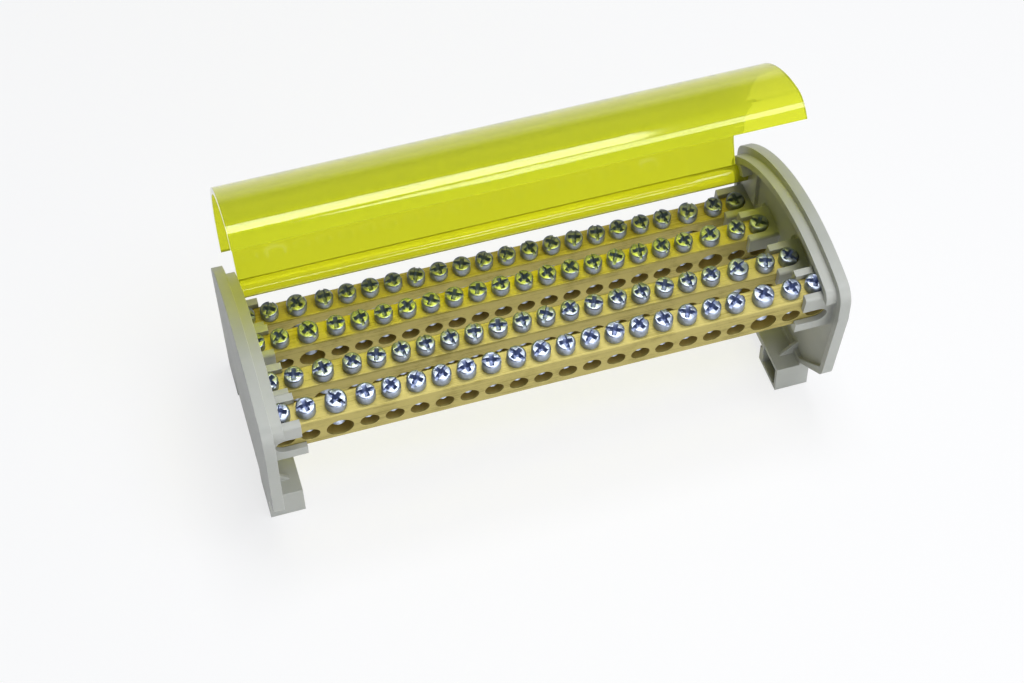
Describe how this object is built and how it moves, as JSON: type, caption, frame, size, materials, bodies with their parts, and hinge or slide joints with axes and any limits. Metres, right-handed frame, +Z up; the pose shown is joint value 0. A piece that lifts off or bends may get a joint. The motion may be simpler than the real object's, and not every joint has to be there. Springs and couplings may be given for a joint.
{
  "type": "power distribution block",
  "caption": "Stepped brass busbar block with clamp screws between two grey end plates, with a hinged see-through yellow cover and feet for a mounting rail.",
  "frame": {"origin": "middle of the block's length, on the rail's centre line, at the height of the rail's seat", "axes": "+X along the bars to the right, +Y from the wire side towards the cover's hinge, +Z up, away from the rail"},
  "size_m": [0.163, 0.0762, 0.101],
  "materials": {
    "grey_plastic": "fine satin moulding",
    "brass": "drawn, lightly brushed",
    "zinc_steel": "bright zinc plating",
    "yellow_cover": "clear glossy yellow-green"
  },
  "bodies": {
    "base": {"end_plate_left": "grey_plastic", "end_plate_right": "grey_plastic", "bus_bar_1": "brass", "bus_bar_2": "brass", "bus_bar_3": "brass", "bus_bar_4": "brass", "branch_screws_1": "zinc_steel", "branch_screws_2": "zinc_steel", "branch_screws_3": "zinc_steel", "branch_screws_4": "zinc_steel", "feed_screws_1": "zinc_steel", "feed_screws_2": "zinc_steel", "feed_screws_3": "zinc_steel", "feed_screws_4": "zinc_steel"},
    "cover": {"cover": "yellow_cover"}
  },
  "joints": [
    {"name": "cover_hinge", "type": "hinge", "parent": "base", "child": "cover", "pos_m": [0, 0.021, 0.0345], "axis": [1, 0, 0], "range_deg": [-45, 40]}
  ]
}
